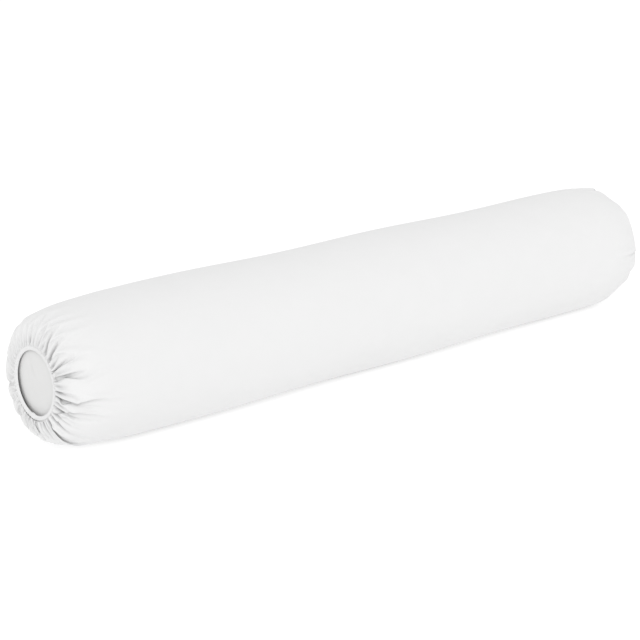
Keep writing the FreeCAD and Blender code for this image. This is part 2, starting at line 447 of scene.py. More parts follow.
def skin(rings, closed=False, capped=False):
    """Faces between rings of points. A ring may have as many points as the last, twice or half as many."""
    starts = np.concatenate([[0], np.cumsum([len(points) for points in rings])])
    faces = []
    pairs = list(zip(range(len(rings) - 1), range(1, len(rings))))
    if closed:
        pairs.append((len(rings) - 1, 0))
    for one, other in pairs:
        n, m = len(rings[one]), len(rings[other])
        a, b = int(starts[one]), int(starts[other])
        if n == m:
            faces += [(a + j, a + (j + 1) % n, b + (j + 1) % n, b + j) for j in range(n)]
        elif n == 2 * m:
            for j in range(m):
                left, middle, right = a + 2 * j, a + 2 * j + 1, a + (2 * j + 2) % n
                low, high = b + j, b + (j + 1) % m
                faces += [(left, middle, low), (middle, right, high), (middle, high, low)]
        else:
            for j in range(n):
                left, middle, right = b + 2 * j, b + 2 * j + 1, b + (2 * j + 2) % m
                low, high = a + j, a + (j + 1) % n
                faces += [(low, middle, left), (low, high, middle), (high, right, middle)]
    if capped:
        last = int(starts[-2])
        faces.append(tuple(range(len(rings[0])))[::-1])
        faces.append(tuple(last + j for j in range(len(rings[-1]))))
    return faces


def mesh_object(name, points, faces, material, smooth=True):
    """A new mesh object in the scene."""
    mesh = bpy.data.meshes.new(name)
    mesh.from_pydata(np.asarray(points).tolist(), [], faces)
    mesh.polygons.foreach_set("use_smooth", [smooth] * len(mesh.polygons))
    mesh.materials.append(material)
    piece = bpy.data.objects.new(name, mesh)
    bpy.context.scene.collection.objects.link(piece)
    return piece


def lay_cloth_map(piece, rings):
    """A UV map in metres: the way round the axis by the way along the cloth."""
    round_it = TAU * RADIUS
    across = np.concatenate([np.arange(len(points)) / len(points) * round_it for points in rings])
    steps = [0.0]
    for one, other in zip(rings[:-1], rings[1:]):
        step = other[:: max(1, len(other) // 80)][:80] - one[:: max(1, len(one) // 80)][:80]
        steps.append(float(np.sqrt((step**2).sum(-1)).mean()))
    along = np.repeat(np.cumsum(steps), [len(points) for points in rings])
    mesh = piece.data
    corners = np.empty(len(mesh.loops), int)
    mesh.loops.foreach_get("vertex_index", corners)
    starts = np.empty(len(mesh.polygons), int)
    mesh.polygons.foreach_get("loop_start", starts)
    face = np.repeat(np.arange(len(starts)), np.diff(np.append(starts, len(corners))))
    across = across[corners]
    furthest = np.maximum.reduceat(across, starts)
    across = across + round_it * (furthest[face] - across > round_it / 2)
    layer = mesh.uv_layers.new(name="cloth")
    layer.uv.foreach_set("vector", np.stack([across, along[corners]], 1).ravel())


def lay_flat_map(piece, points):
    """A UV map in metres for a piece cut flat that faces along X."""
    corners = np.empty(len(piece.data.loops), int)
    piece.data.loops.foreach_get("vertex_index", corners)
    layer = piece.data.uv_layers.new(name="cloth")
    layer.uv.foreach_set("vector", points[corners, 1:].ravel())


def cloth_piece(name, rings, material, closed=False, flat=False):
    """A piece of cloth skinned over rings, with its map."""
    points = np.concatenate(rings)
    piece = mesh_object(name, points, skin(rings, closed, not closed), material)
    if flat:
        lay_flat_map(piece, points)
    else:
        lay_cloth_map(piece, rings)
    return piece


def unit(vectors):
    """The same directions at length 1."""
    return vectors / np.linalg.norm(vectors, axis=-1, keepdims=True)


def swept_rings(path, section, across, up):
    """A section's outline carried along a path, as rings."""
    sides, overs = np.broadcast_to(across, path.shape), np.broadcast_to(up, path.shape)
    places = zip(path, sides, overs)
    return [point + section[:, :1] * side + section[:, 1:] * over for point, side, over in places]


def oval(width, height, corners=12, squareness=1.0):
    """An oval section's outline; a squareness under 1 fills its corners."""
    turn = angles_of(corners)
    x, y = np.cos(turn), np.sin(turn)
    x = np.sign(x) * np.abs(x) ** squareness * width / 2
    y = np.sign(y) * np.abs(y) ** squareness * height / 2
    return np.stack([x, y], -1)


def thread_piece(name, lines, radius, material):
    """Sewing thread along several lines of points, with each end drawn in."""
    points, faces = [], []
    for line in lines:
        forward = unit(np.gradient(line, axis=0))
        helper = np.array([0.31, 0.57, 0.76])
        across = unit(np.cross(forward, helper))
        up = np.cross(across, forward)
        rings = swept_rings(line, oval(2 * radius, 2 * radius, 6), across, up)
        rings[0] = line[0] + (rings[0] - line[0]) * 0.4
        rings[-1] = line[-1] + (rings[-1] - line[-1]) * 0.4
        start = len(points) * len(rings[0])
        faces += [tuple(start + corner for corner in face) for face in skin(rings, capped=True)]
        points += rings
    return mesh_object(name, np.concatenate(points), faces, material)


def settle_on_floor(points, floor, softness=1.2 * MM):
    """Flattens what would be below the floor, with a soft turn up from it."""
    height = points[..., 2] - floor
    points[..., 2] = floor + (height + np.sqrt(height**2 + softness**2)) / 2
    return points


# --- the cover's cloth -------------------------------------------------------------------------------

PUCKERS = 80
PUCKER = 0.8 * MM
SWELL = 1.7 * MM  # how far the gathers stand proud beside the hem
SWELL_UNEVEN = 0.35  # of it, more where it swells most and less opposite
SWELL_MOST = math.radians(315)
AT_STITCHES = 0.55  # of the puckers and the swell, at the stitch line itself
HEM_THICK = 0.9 * MM  # half of the hem channel's thickness
HEM_DEPTH = -0.5 * MM  # the middle of the channel, proud of the end plane
HEM_WIDE = (STITCH_LINE_R - MOUTH_R) / 2
HEM_MIDDLE_R = (STITCH_LINE_R + MOUTH_R) / 2
HEM_RINGS = 14
HEM_SMOOTH = 24  # waves of the stitch line's drift round the ring that its hem follows
HEM_SQUARE = 0.6  # under 1, its section is fuller than an oval
HEM_ROUND = 0.88  # the share of its section's oval that the hem's rings cover
HEM_LOOSE = 0.7  # how far its outer edge keeps to the stitch line's own drift
OVERLAP_ANGLE = math.radians(-84)  # where the cover's long seam crosses its hems
OVERLAP_HALF = 5  # degrees
OVERLAP_IN = 1.2 * MM  # how much nearer the axis the hem's lip is there
OVERLAP_THICKER = 0.3
LINING_ROW = 8 * MM
# Arc lengths from the stitch line, and how far the cover's inside is under its outside's round shape there
LINING_PLACES = (5 * MM, 16 * MM, 45 * MM, 85 * MM)
LINING_DEPTHS = (2.8 * MM, 5.2 * MM, 4.8 * MM, 2 * CLOTH)


def puckered(cloth, seed):
    """Adds the fine puckers beside the hem. Returns the cloth and how far they rise at the stitch line."""
    rng = np.random.default_rng(seed)
    angle = angles_of(cloth.shape[1])
    wave = np.cos(PUCKERS * angle + 1.6 * ripple(rng, angle, 12, 3))
    size = PUCKER * (0.65 + 0.35 * np.clip(ripple(rng, angle, 14, 4), -1.5, 1.5))
    reach = (8 + 2.5 * np.clip(ripple(rng, angle, 14, 6), -1.5, 1.5)) * MM
    place = np.arange(len(cloth)) * ROW
    grown = AT_STITCHES + (1 - AT_STITCHES) * ease(place, 0, 2 * MM)
    fade = (1 - ease(place[:, None], 1 * MM, reach[None])) * grown[:, None]
    rise = size * wave
    swell = AT_STITCHES + (1 - AT_STITCHES) * ease(place, 0, 2 * ROW)
    swell *= SWELL * (1 - ease(place, 3 * ROW, FINE_REACH))
    swell = swell[:, None] * (1 + SWELL_UNEVEN * np.cos(angle - SWELL_MOST))
    cloth[..., 0] -= fade * rise[None] + swell
    return cloth, rise * grown[0] + swell[0]


def hem_channel(stitch_row, rise):
    """Rings from the outside of the stitch line round the hem's lip to its inside."""
    own = np.unwrap(np.arctan2(stitch_row[:, 2], stitch_row[:, 1]))
    even = own[0] + angles_of(len(own))
    drift = np.fft.rfft(own - even)
    drift[HEM_SMOOTH:] = 0
    smooth = even + np.fft.irfft(drift, len(own))
    overlap = np.exp(-((np.degrees(wrapped(smooth - OVERLAP_ANGLE)) / OVERLAP_HALF) ** 4))
    rings = []
    for number in range(HEM_RINGS):
        turn = TAU * ((1 - HEM_ROUND) / 2 + HEM_ROUND * (number + 0.5) / HEM_RINGS)
        out, front = math.cos(turn), math.sin(turn)
        front = math.copysign(abs(front) ** HEM_SQUARE, front)
        radius = HEM_MIDDLE_R + HEM_WIDE * out - OVERLAP_IN * overlap * (out < 0.2)
        depth = HEM_DEPTH - HEM_THICK * (1 + OVERLAP_THICKER * overlap) * front
        depth -= rise * float(ease(out, -1.0, 0.9)) * (front > 0)
        loose = HEM_LOOSE * float(ease(out, 0.5, 1.0))
        rings.append(ring(depth, radius, loose * own + (1 - loose) * smooth))
    return rings


def lining(side):
    """The inside of the cloth at one end, as plain rings from the hem to the tube."""
    along, depth, radius = meridian()
    rings = []
    for place in np.arange(5 * MM, REACH, LINING_ROW):
        deep, far = np.interp(place, along, depth), np.interp(place, along, radius)
        facing = max(0.0, 1 - deep / SHOULDER)
        under = np.interp(place, LINING_PLACES, LINING_DEPTHS)
        far -= under * (1 - facing)
        deep += under * facing
        rings.append(at_end(ring(deep, far, angles_of(TUBE_COLUMNS)), side))
    return rings


def tube_rings(start, end, radius):
    """Plain rings along the tube, between two places."""
    angle = angles_of(TUBE_COLUMNS)
    count = round(abs(end - start) / TUBE_ROW)
    places = (start + (end - start) * number / count for number in range(1, count))
    y, z = radius * np.cos(angle), radius * np.sin(angle) + AXIS_Z
    return [np.stack([x + 0 * angle, y, z], -1) for x in places]


def halved(points):
    """Every other point of a ring."""
    return points[::2]


LONG_WAVES = 9
LONG_WAVE = 0.5 * MM
SLACK_SEED = 3
FRONT_SEED = 11
REAR_SEED = 31
REAR_CREASE_SEED = 5


def slack(points):
    """Slight long waves in the cloth, as soft filling gives it, growing in from the ends."""
    rng = np.random.default_rng(SLACK_SEED)
    angle = np.arctan2(points[:, 2] - AXIS_Z, points[:, 1])
    out = np.zeros(len(points))
    for _ in range(LONG_WAVES):
        around, along = rng.integers(1, 7), rng.uniform(4, 22)
        out += rng.normal() * np.cos(around * angle + along * points[:, 0] + rng.uniform(0, TAU))
    out *= LONG_WAVE / math.sqrt(LONG_WAVES / 2) * ease(HALF - np.abs(points[:, 0]), 0, SHOULDER)
    points[:, 1] += out * np.cos(angle)
    points[:, 2] += out * np.sin(angle)
    near_front = np.exp(-(HALF + points[:, 0]).clip(0) / (SHOULDER / 2))
    points[:, 0] += LEAN * near_front * (points[:, 2] - AXIS_Z) / MOUTH_R
    return points


def settled_ends():
    """Each end's cloth and its rise at the stitch line."""
    front = puckered(gathered_end(FRONT_CREASES, FRONT_SEED, FRONT_FULLEST), FRONT_SEED + 1)
    creases = random_creases(REAR_CREASE_SEED)
    rear = puckered(gathered_end(creases, REAR_SEED, REAR_FULLEST), REAR_SEED + 1)
    return {-1: front, 1: rear}


def make_cover(material):
    """The cover's cloth as one closed sheet: its outside, both hems and its inside."""
    outside, hems, insides, stitch_rows = {}, {}, {}, {}
    for side, (cloth, rise) in settled_ends().items():
        rows = list(cloth[:FINE_ROWS]) + [halved(row) for row in cloth[FINE_ROWS::2]]
        outside[side] = [at_end(row, side) for row in rows]
        hems[side] = [at_end(row, side) for row in hem_channel(cloth[0], rise)]
        fine = hems[side][-1]
        insides[side] = [halved(fine), halved(halved(fine))] + lining(side)
        stitch_rows[side] = at_end(cloth[0], side)
    face = outside[-1] + tube_rings(outside[-1][-1][0, 0], outside[1][-1][0, 0], RADIUS) + outside[1][::-1]
    back = hems[1] + insides[1]
    back += tube_rings(insides[1][-1][0, 0], insides[-1][-1][0, 0], RADIUS - 2 * CLOTH)
    back += insides[-1][::-1] + hems[-1][::-1]
    rings = [settle_on_floor(slack(points), 0.0) for points in face]
    rings += [settle_on_floor(slack(points), CLOTH) for points in back]
    for side, row in stitch_rows.items():
        stitch_rows[side] = slack(row)
    return cloth_piece("bolster_cover", rings, material, closed=True), stitch_rows


# --- pieces on the cover -----------------------------------------------------------------------------

HEM_STITCHES = 128
STITCH_COLUMNS = 3  # of the stitch row's columns under one stitch
THREAD_R = 0.3 * MM
ELASTIC_WIDE = 4.6 * MM
ELASTIC_THICK = 1.1 * MM
LAP_THICK = 1.3 * ELASTIC_THICK
LAP_HALF = math.radians(4.5)  # half of the elastic's sewn lap, round the axis
UNDERSIDE = -math.pi / 2
ZIGZAG_PITCH = 3 * MM
COVER_SEAM_WANDER = 2 * MM


def hem_stitches(name, stitch_row, side, material):
    """The stitches that close a hem, lying on the cover's cloth."""
    apart = len(stitch_row) // HEM_STITCHES
    lines = []
    for number in range(HEM_STITCHES):
        columns = (number * apart + np.arange(STITCH_COLUMNS + 1)) % len(stitch_row)
        line = stitch_row[columns].copy()
        line[:, 0] += side * THREAD_R * np.array([-0.3, 0.8, 0.8, -0.3])
        lines.append(line)
    return thread_piece(name, lines, THREAD_R, material)


def band_round(name, side, first, last, thick, material):
    """A flat band standing in the hem's channel, from one angle to another."""
    count = max(12, int(abs(last - first) / math.radians(2)))
    angle = np.linspace(first, last, count)
    radial = np.stack([0 * angle, np.cos(angle), np.sin(angle)], -1)
    place = slack(at_end(ring(HEM_DEPTH, HEM_MIDDLE_R, angle), side))
    rings = swept_rings(place, oval(ELASTIC_WIDE, thick, 12, 0.5), radial, ALONG)
    return mesh_object(name, np.concatenate(rings), skin(rings, capped=True), material)


def zigzag_along(start, end, height, across):
    """Points of an overlock thread that goes to and fro across a seam."""
    length = float(np.linalg.norm(end - start))
    count = int(length / ZIGZAG_PITCH) * 4
    share = np.arange(count + 1) / count
    sway = height * np.sin(TAU * np.arange(count + 1) / 4)
    return start + share[:, None] * (end - start) + sway[:, None] * across


def cover_seam(material, thread):
    """The cover's long seam allowance, pressed flat inside its underside, and its thread."""
    low, high = np.array(COVER_SEAM_LOW), np.array(COVER_SEAM_HIGH)
    rng = np.random.default_rng(8)
    x = np.linspace(low[0], high[0], 240)
    middle = (low + high) / 2
    wander = COVER_SEAM_WANDER * ripple(rng, (x - low[0]) * 4, 6)
    lifted = np.clip(AXIS_Z - RADIUS + TAPER_UNDER * taper(HALF + x), 0, None)
    path = np.stack([x, middle[1] + wander, middle[2] + lifted], -1)
    section = oval(high[1] - low[1], (high[2] - low[2]) * 0.8, 16, 0.4)
    rings = swept_rings(path, section, ACROSS, UP)
    strip = mesh_object("cover_seam_allowance", np.concatenate(rings), skin(rings, capped=True), material)
    start, end = path[0] + [0, -1.5 * MM, 0], path[-1] + [0, -1.5 * MM, 0]
    line = zigzag_along(start, end, 1.6 * MM, ACROSS)
    line[:, 2] = high[2] - 0.1 * MM + np.interp(line[:, 0], x, lifted)
    return strip, thread_piece("cover_seam_stitching", [line], THREAD_R * 0.7, thread)


# --- the insert --------------------------------------------------------------------------------------

CASING_COLUMNS = 320
CASING_ROW = 1.5 * MM
CASING_REACH = 0.14  # from the end seam along the casing's side, where its rows are fine
SEAM_GAP = 0.4 * MM  # from the seam to each of the cloths that it joins
TICKING = 0.8 * MM
SEAM_DIP = 2.0 * MM
SEAM_DIP_WIDE = 3.5 * MM
SEAM_PUCKERS = 44
SEAM_PUCKER = 0.45 * MM
SEAM_PUCKER_WIDE = 10 * MM
CASING_LUMP = 0.25 * MM
CASING_SEED = 40
LONG_SEAM_ANGLE = math.radians(-45)
LONG_SEAM_DIP = 1.0 * MM
LONG_SEAM_WIDE = 2.2 * MM
PANEL_CROWN = 4.2 * MM  # how far the filling pushes the panels out, inside CROWN_R
CROWN_R = 60 * MM
ALLOWANCE = 8 * MM


def insert_place(depth_offset, radius):
    """A profile of the insert from its axis out, as arc length, depth and radius."""
    along, depth, far = profile(DISC_DEPTH + depth_offset, MOUTH_R, radius)
    flat = np.linspace(0, MOUTH_R, 60)[:-1]
    return np.append(flat, along + MOUTH_R), np.append(0 * flat + depth[0], depth), np.append(flat, far)


def insert_rings(side, places, inset):
    """Rings of the insert's surface at arc lengths from its axis, with its seams' dips and its puckers."""
    along, depth, far = insert_place(inset, CASING_R - inset)
    seam_at = float(np.interp(SEAM_DEPTH + inset, depth, along))
    angle = angles_of(CASING_COLUMNS)
    rng = np.random.default_rng(CASING_SEED + side)
    pucker = SEAM_PUCKER * np.cos(SEAM_PUCKERS * angle + 2 * ripple(rng, angle, 8, 2))
    lumps = [ripple(rng, angle, 7) for _ in range(5)]
    rings = []
    for place in places:
        deep, out = float(np.interp(place, along, depth)), float(np.interp(place, along, far))
        facing = max(0.0, (SHOULDER - deep) / (SHOULDER - DISC_DEPTH)) ** 1.5
        from_seam = place - seam_at
        dip = SEAM_DIP * math.exp(-((from_seam / SEAM_DIP_WIDE) ** 2)) + 0 * angle
        dip += pucker * math.exp(-((from_seam / SEAM_PUCKER_WIDE) ** 2))
        lump = sum(shape * math.cos(place * 23 + 1.7 * turn) for turn, shape in enumerate(lumps)) / 5
        dip += CASING_LUMP * (1 + np.clip(lump, -1, 1)) * min(1.0, place / (40 * MM)) ** 2
        if place > seam_at:
            off = wrapped(angle - LONG_SEAM_ANGLE) * CASING_R
            dip += LONG_SEAM_DIP * np.exp(-((off / LONG_SEAM_WIDE) ** 2)) * float(ease(from_seam, 0, 4 * MM))
        if place < CROWN_R:
            dip -= PANEL_CROWN * (1 - (place / CROWN_R) ** 8)
            dip += panel_wrinkles(place, angle)
        rings.append(at_end(ring(deep + dip * facing, out - dip * (1 - facing), angle), side))
    return rings, seam_at


def panel_wrinkles(radius, angle):
    """Slight wrinkles in an end panel where the opening shows it."""
    y, z = radius * np.cos(angle), radius * np.sin(angle)
    depth = 0.0 * angle
    for at_y, at_z, turn, long, wide, deep in PANEL_WRINKLES:
        along = (y - at_y * MM) * math.cos(turn) + (z - at_z * MM) * math.sin(turn)
        off = (z - at_z * MM) * math.cos(turn) - (y - at_y * MM) * math.sin(turn)
        depth += deep * MM * np.exp(-((along / (long * MM)) ** 2) - (off / (wide * MM)) ** 2)
    return depth


# The panels' wrinkles: Y and Z from the axis in mm, turn in radians, then length, width and depth in mm
PANEL_WRINKLES = [
    (16, 20, 1.2, 11, 5.5, 1.2),
    (7, 16, 0.7, 12, 5.0, -0.8),
    (22, 4, 1.9, 10, 5.0, 0.7),
    (-14, -16, 0.9, 20, 6.0, 0.4),
    (-20, 12, 2.4, 16, 5.0, -0.3),
]


def rings_between(start, end, count):
    """Rings evenly between two others, which are the first and last of the count."""
    share = np.linspace(0, 1, count)[1:-1, None, None]
    return list(start + share * (end - start))


def double(outer, inner):
    """Cloth with both its faces, joined at both edges."""
    return outer + inner[::-1]


def make_casing(material):
    """The casing's side and its two end panels, then the end seams' arc length from the axis and radius."""
    outer, inner = {}, {}
    for side in (-1, 1):
        along, depth, far = insert_place(0, CASING_R)
        seam_at = float(np.interp(SEAM_DEPTH, depth, along))
        places = np.arange(seam_at + SEAM_GAP, seam_at + CASING_REACH, CASING_ROW)
        outer[side], _ = insert_rings(side, places, 0)
        inner[side], _ = insert_rings(side, places, TICKING)
    pieces = []
    middle = []
    for faces, floor in ((outer, CASING_FLOOR), (inner, CASING_FLOOR + TICKING)):
        between = rings_between(faces[-1][-1], faces[1][-1], 60)
        middle.append([settle_on_floor(points, floor) for points in faces[-1] + between + faces[1][::-1]])
    pieces.append(cloth_piece("casing_side", double(*middle), material, closed=True))
    for side, end in ((-1, "front"), (1, "rear")):
        middle_places = np.geomspace(0.5 * MM, 10 * MM, 8)
        places = np.append(middle_places, np.arange(12 * MM, seam_at - SEAM_GAP, CASING_ROW))
        faces = []
        for inset, floor in ((0, CASING_FLOOR), (TICKING, CASING_FLOOR + TICKING)):
            rings, _ = insert_rings(side, places, inset)
            faces.append([settle_on_floor(points, floor) for points in rings])
        pieces.append(cloth_piece(end + "_end_panel", double(*faces), material, flat=True))
    return pieces, seam_at, float(np.interp(seam_at, along, far))


SEAM_SWAY = 0.8 * MM
FIN = oval(ALLOWANCE, 2 * TICKING, 12, 0.4)  # two thicknesses of ticking, pressed together
END_STITCHES = 190
TURNED = np.array([0, math.cos(LONG_SEAM_ANGLE), math.sin(LONG_SEAM_ANGLE)])  # out through the long seam
BESIDE = np.array([0, -TURNED[2], TURNED[1]])
CENTRE = np.array([0, 0, AXIS_Z])


def end_seam(side, end, seam_r, cloth, thread):
    """An end seam's allowance, which stands inwards, and its thread."""
    angle = angles_of(180)
    radial = np.stack([0 * angle, np.cos(angle), np.sin(angle)], -1)
    sway = SEAM_SWAY * ripple(np.random.default_rng(60 + side), angle, 10, 3)
    middle_r = seam_r - 2 * MM - ALLOWANCE / 2
    path = at_end(ring(SEAM_DEPTH + 1.5 * MM + sway, middle_r, angle), side)
    path = settle_on_floor(path, CASING_FLOOR + TICKING + ALLOWANCE / 2 + 1 * MM)
    rings = swept_rings(path, FIN, radial, ALONG)
    fin = mesh_object(end + "_seam_allowance", np.concatenate(rings), skin(rings, True), cloth)
    fine = np.linspace(0, TAU, 4 * END_STITCHES + 1)
    wave = np.sin(TAU * np.arange(len(fine)) / 4)
    sway = np.interp(fine, np.append(angle, TAU), np.append(sway, sway[0]))
    line = at_end(ring(SEAM_DEPTH + 1.5 * MM + sway + TICKING * 1.2, middle_r + 3 * MM * wave, fine), side)
    line = settle_on_floor(line, CASING_FLOOR + TICKING + 1.5 * MM)
    return fin, thread_piece(end + "_seam_stitching", [line], THREAD_R, thread)


def casing_long_seam(cloth, thread):
    """The long seam's allowance, and its thread on either side of the gap for stuffing."""
    x = np.linspace(CASING_LOW[0] + 40 * MM, CASING_HIGH[0] - 40 * MM, 220)
    sway = SEAM_SWAY * ripple(np.random.default_rng(70), x * 5, 6)
    out = CASING_R - LONG_SEAM_DIP - TICKING - ALLOWANCE / 2
    path = CENTRE + TURNED * out + BESIDE * sway[:, None]
    path[:, 0] = x
    rings = swept_rings(path, FIN, TURNED, BESIDE)
    points = drawn_in(np.concatenate(rings))
    fin = mesh_object("casing_seam_allowance", points, skin(rings, capped=True), cloth)
    lines = []
    for first, last in ((0, np.argmax(x > CLOSING_LOW[0])), (np.argmax(x > CLOSING_HIGH[0]), len(x) - 1)):
        line = zigzag_along(path[first], path[last], 3 * MM, TURNED)
        line += BESIDE * (TICKING * 1.1 + np.interp(line[:, 0], x, sway)[:, None] - sway[first])
        lines.append(drawn_in(line))
    return fin, thread_piece("casing_seam_stitching", lines, THREAD_R, thread)


CLOSING_STITCHES = 30


def closing_stitches(thread):
    """The hand stitches over the gap for stuffing, each a little out of step."""
    lines = []
    pitch = (CLOSING_HIGH[0] - CLOSING_LOW[0]) / CLOSING_STITCHES
    rng = np.random.default_rng(71)
    for number in range(CLOSING_STITCHES):
        start = CLOSING_LOW[0] + (number + 0.2 + 0.15 * rng.uniform(-1, 1)) * pitch
        share = np.linspace(-1, 1, 7)
        lift = CASING_R - LONG_SEAM_DIP * 0.6 + 0.3 * MM * (1 - share**2)
        line = CENTRE + lift[:, None] * TURNED + (share * 2.8 * MM)[:, None] * BESIDE
        line[:, 0] = start + (share + 1) * 0.3 * pitch
        lines.append(line)
    return thread_piece("closing_whip_stitches", lines, 1.5 * THREAD_R, thread)


LUMP = 1.6 * MM


def lumpy(rings, rng, size):
    """Rings with soft lumps, as of fibre."""
    angle = angles_of(len(rings[0]))
    shapes = [ripple(rng, angle, 10, 2) for _ in range(6)]
    for number, points in enumerate(rings):
        phases = (number * 0.37 * (1 + turn) + turn for turn in range(len(shapes)))
        lump = sum(shape * math.cos(phase) for shape, phase in zip(shapes, phases)) / len(shapes)
        axis = np.array([points[:, 0].mean(), 0, AXIS_Z])
        points += (points - axis) * (size * (np.clip(lump, -1, 1) - 1))[:, None] / CASING_R
    return rings


def filling(wadding_material, fibre_material):
    """The wadding inside the casing, hollow for the firm fibre core, and that core."""
    rng = np.random.default_rng(90)
    gap = TICKING + 0.6 * MM
    along, depth, far = insert_place(gap, CASING_R - gap)
    outer_places = np.arange(14 * MM, along[-1] - REACH + 10 * MM, 5 * MM)
    places = np.append(np.geomspace(1 * MM, 10 * MM, 6), outer_places)
    ends = {}
    for side in (-1, 1):
        deep, out = np.interp(places, along, depth), np.interp(places, along, far)
        ends[side] = [at_end(ring(d, r, angles_of(120)), side) for d, r in zip(deep, out)]
    between = rings_between(ends[-1][-1], ends[1][-1], 90)
    outer = lumpy(ends[-1] + between + ends[1][::-1], rng, LUMP)
    outer = [settle_on_floor(points, CASING_FLOOR + TICKING + 0.4 * MM) for points in outer]
    core = core_rings(0.0)
    hollow = core_rings(0.6 * MM)
    shell = skin(outer, capped=True)
    start = sum(len(points) for points in outer)
    shell += [tuple(start + corner for corner in face[::-1]) for face in skin(hollow, capped=True)]
    wadding = mesh_object("wadding", np.concatenate(outer + hollow), shell, wadding_material)
    fibre = mesh_object("fibre_filling", np.concatenate(core), skin(core, capped=True), fibre_material)
    return wadding, fibre


def core_rings(grown):
    """The fibre core's surface, grown by a little."""
    edge = 25 * MM
    turn = np.linspace(0, math.pi / 2, 10)
    depth = np.concatenate([np.full(5, CORE_DEPTH), CORE_DEPTH + edge * (1 - np.cos(turn))]) - grown
    flat = np.geomspace(1 * MM, CORE_R - edge, 6)[:-1]
    far = np.concatenate([flat, CORE_R - edge + edge * np.sin(turn)]) + grown
    front = [at_end(ring(d, r, angles_of(96)), -1) for d, r in zip(depth, far)]
    rear = [at_end(ring(d, r, angles_of(96)), 1) for d, r in zip(depth, far)]
    between = rings_between(front[-1], rear[-1], 80)
    return lumpy(front + between + rear[::-1], np.random.default_rng(91), 2 * LUMP)


# --- materials ---------------------------------------------------------------------------------------

PAINTED_SHADE_REACH = 6 * MM  # how near other cloth has to be for a fold to get painted shade


def math_node(tree, operation, first, second=0.0):
    """A sum done in a material, on sockets or numbers. Returns its result's socket."""
    node = tree.nodes.new("ShaderNodeMath")
    node.operation = operation
    for number, value in enumerate((first, second)):
        if hasattr(value, "is_linked"):
            tree.links.new(value, node.inputs[number])
        else:
            node.inputs[number].default_value = value
    return node.outputs[0]


def noise(tree, scale, detail=2.0):
    """Noise in the piece's own space."""
    coordinates = tree.nodes.new("ShaderNodeTexCoord")
    node = tree.nodes.new("ShaderNodeTexNoise")
    node.inputs["Scale"].default_value = scale
    node.inputs["Detail"].default_value = detail
    tree.links.new(coordinates.outputs["Object"], node.inputs["Vector"])
    return node.outputs[0]


def knit_height(tree):
    """Columns of V-shaped stitches, along the cloth."""
    coordinates = tree.nodes.new("ShaderNodeUVMap")
    parts = tree.nodes.new("ShaderNodeSeparateXYZ")
    tree.links.new(coordinates.outputs[0], parts.inputs[0])
    column = math_node(tree, "MULTIPLY", parts.outputs[0], math.pi / (1.1 * MM))
    column = math_node(tree, "ABSOLUTE", math_node(tree, "SINE", column))
    slant = math_node(tree, "MULTIPLY", column, 2.2)
    row = math_node(tree, "ADD", math_node(tree, "MULTIPLY", parts.outputs[1], TAU / (0.9 * MM)), slant)
    row = math_node(tree, "MULTIPLY", math_node(tree, "SINE", row), 0.35)
    return math_node(tree, "ADD", column, row)


def weave_height(tree):
    """A plain weave."""
    coordinates = tree.nodes.new("ShaderNodeUVMap")
    parts = tree.nodes.new("ShaderNodeSeparateXYZ")
    tree.links.new(coordinates.outputs[0], parts.inputs[0])
    warp = math_node(tree, "SINE", math_node(tree, "MULTIPLY", parts.outputs[0], TAU / (0.8 * MM)))
    weft = math_node(tree, "SINE", math_node(tree, "MULTIPLY", parts.outputs[1], TAU / (0.9 * MM)))
    return math_node(tree, "MULTIPLY", warp, weft)


def twist_height(tree):
    """The plies of a twisted thread, or the ribs of a braid."""
    coordinates = tree.nodes.new("ShaderNodeTexCoord")
    parts = tree.nodes.new("ShaderNodeSeparateXYZ")
    tree.links.new(coordinates.outputs["Object"], parts.inputs[0])
    total = math_node(tree, "ADD", parts.outputs[0], parts.outputs[1])
    total = math_node(tree, "ADD", total, parts.outputs[2])
    return math_node(tree, "SINE", math_node(tree, "MULTIPLY", total, TAU / (0.8 * MM)))


def fibre_height(tree):
    """Matted fibres."""
    return noise(tree, 900, 6.0)


def painted_fold_shade(tree, colour, dark):
    """The colour with painted shade: darker by up to a share of itself where the cloth closes round a fold,
    as the fold's shade would make it.
    """
    near = tree.nodes.new("ShaderNodeAmbientOcclusion")
    near.samples = 8
    near.inputs["Distance"].default_value = PAINTED_SHADE_REACH
    darker = tree.nodes.new("ShaderNodeMix")
    darker.data_type = "RGBA"
    darker.blend_type = "MULTIPLY"
    darker.inputs["Factor"].default_value = dark
    tree.links.new(colour, darker.inputs["A"])
    tree.links.new(near.outputs["Color"], darker.inputs["B"])
    return darker.outputs["Result"]


